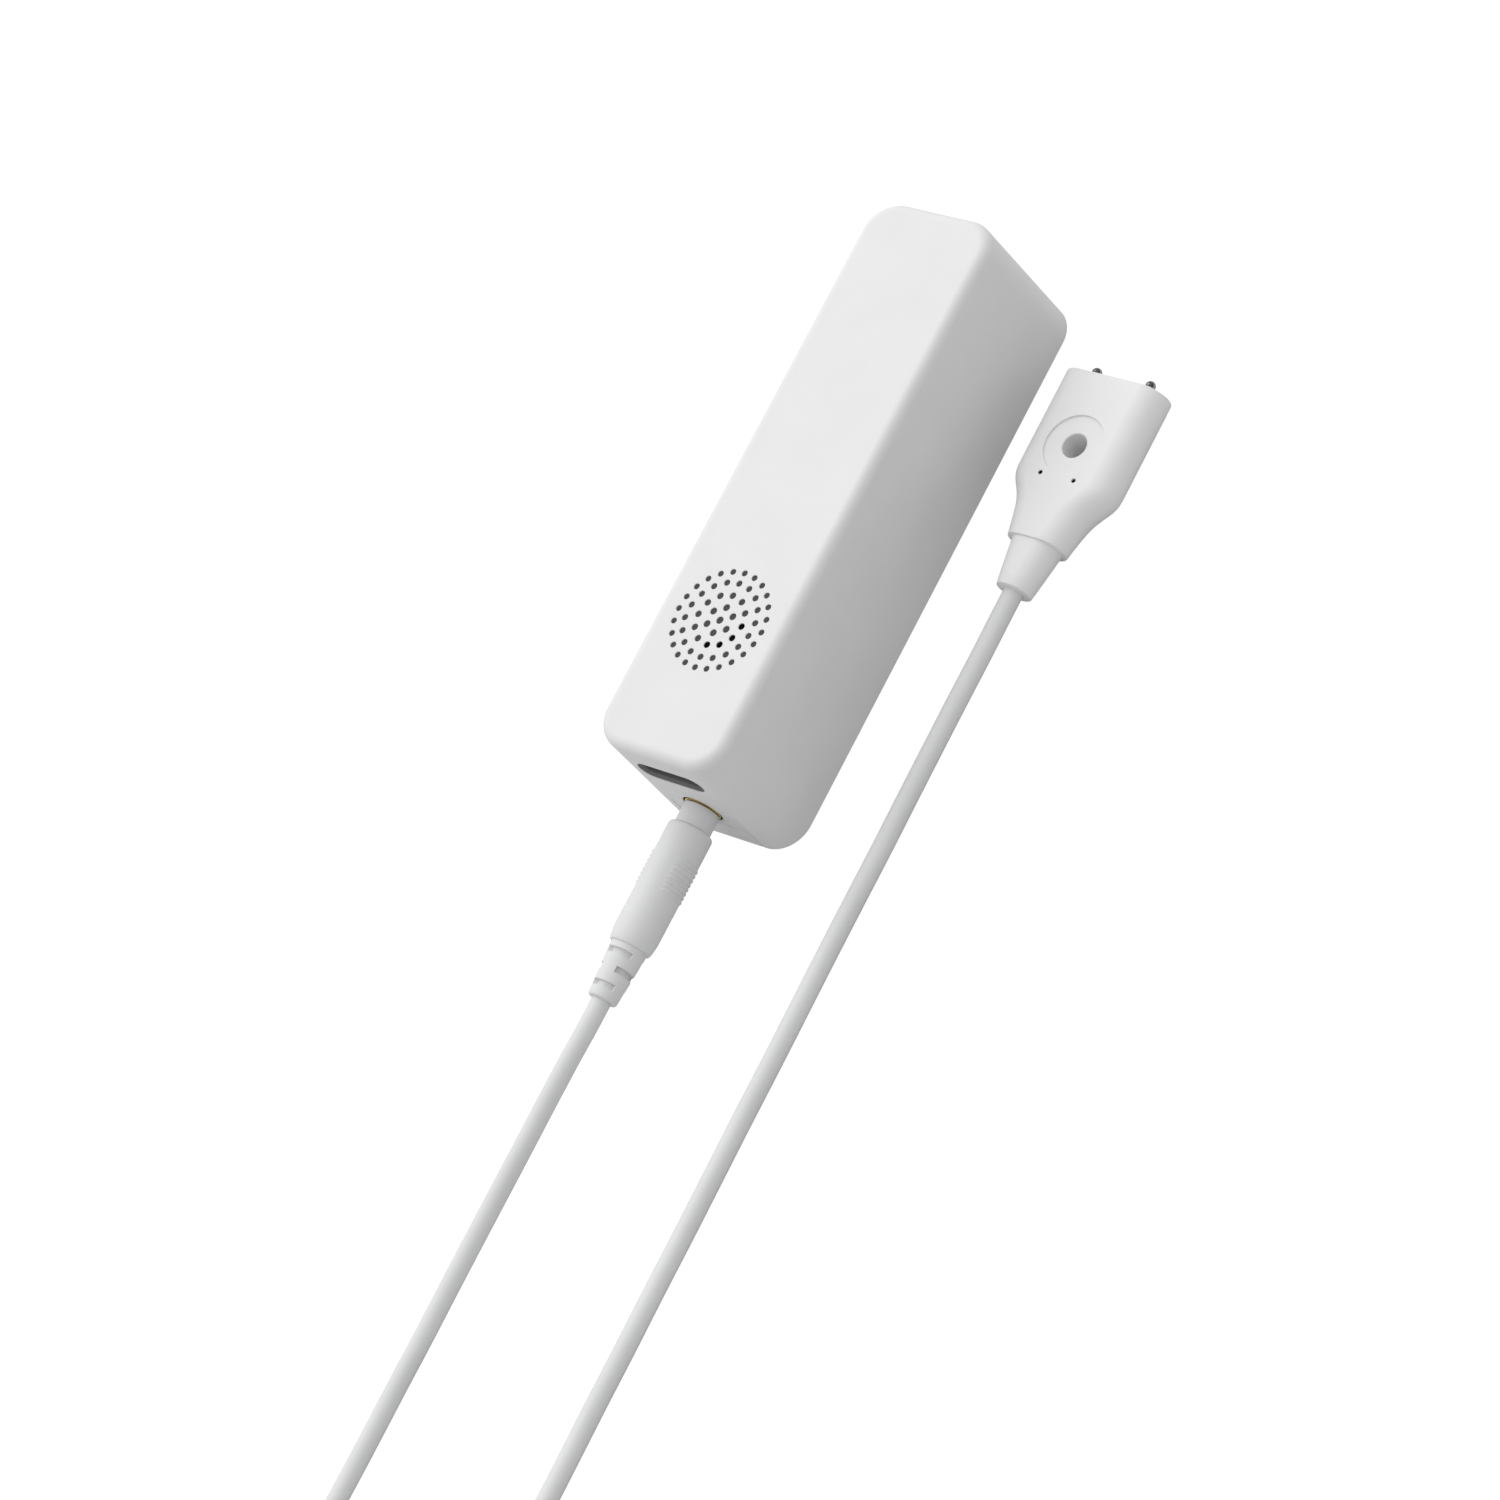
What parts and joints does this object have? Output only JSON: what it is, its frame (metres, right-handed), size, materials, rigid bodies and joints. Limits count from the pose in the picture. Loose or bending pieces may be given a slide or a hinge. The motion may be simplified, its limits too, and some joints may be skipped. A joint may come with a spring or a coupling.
{
  "type": "leak alarm with plug-in contact probe",
  "caption": "Slim white leak alarm box with a round pattern of sound holes, an oval slot and a jack, and a flat two-pin contact probe on a plug-in lead.",
  "frame": {"origin": "middle of the back face of the box, on the surface that the box lies on", "axes": "+Z out of the sounder face, +Y along the box away from the jack end, +X across the box toward the probe"},
  "size_m": [0.0641, 0.3365, 0.0335],
  "materials": {
    "shell": "fine matt white",
    "probe": "satin white",
    "moulding": "soft satin off-white",
    "jacket": "smooth satin off-white",
    "gold": "polished gold plate",
    "pin_metal": "polished",
    "steel": "nickel plate",
    "black_plastic": "matt black",
    "grey_plastic": "matt dark grey",
    "grey_rubber": "matt dark grey",
    "foam": "matt foam",
    "board": "green solder mask",
    "tray": "matt natural white",
    "cell": "satin wrap",
    "lamp": "clear"
  },
  "bodies": {
    "box": {"housing": "shell", "jack_yoke": "shell", "jack_bush": "gold", "jack_body": "black_plastic", "jack_tip_spring": "steel", "jack_pins": "steel", "slot_liner": "grey_rubber", "button_switch": "black_plastic", "circuit_board": "board", "radio_module": "steel", "radio_antenna": "gold", "main_chip": "black_plastic", "status_light": "lamp", "sounder_case": "grey_plastic", "sounder_disc": "gold", "sounder_gasket": "foam", "sounder_pins": "steel", "battery_tray": "tray", "battery_near": "cell", "battery_far": "cell", "battery_spring": "steel", "contact_near": "steel", "contact_far": "steel", "tray_screws": "steel"},
    "cover": {"back_cover": "shell"},
    "button": {"test_button": "grey_plastic"},
    "lead": {"plug_handle": "moulding", "plug_boot": "moulding", "plug_sleeve": "gold", "plug_insulator": "black_plastic", "plug_core": "gold", "plug_tip": "gold", "lead_from_plug": "jacket", "lead_coil": "jacket", "lead_to_probe": "jacket", "probe_body": "probe", "probe_sleeve": "probe", "probe_pins": "pin_metal", "probe_contacts": "gold"}
  },
  "joints": [
    {"name": "cover_tilt", "type": "hinge", "parent": "box", "child": "cover", "pos_m": [0, 0.05925, 0], "axis": [1, 0, 0], "range_deg": [0, 25]},
    {"name": "button_press", "type": "slide", "parent": "box", "child": "button", "axis": [0, 1, 0], "range_m": [0, 0.0005], "stiffness_N_per_m": 600, "springref_m": -0.0003},
    {"name": "plug_slide", "type": "slide", "parent": "box", "child": "lead", "axis": [0, -1, 0], "range_m": [0, 0.015]}
  ]
}
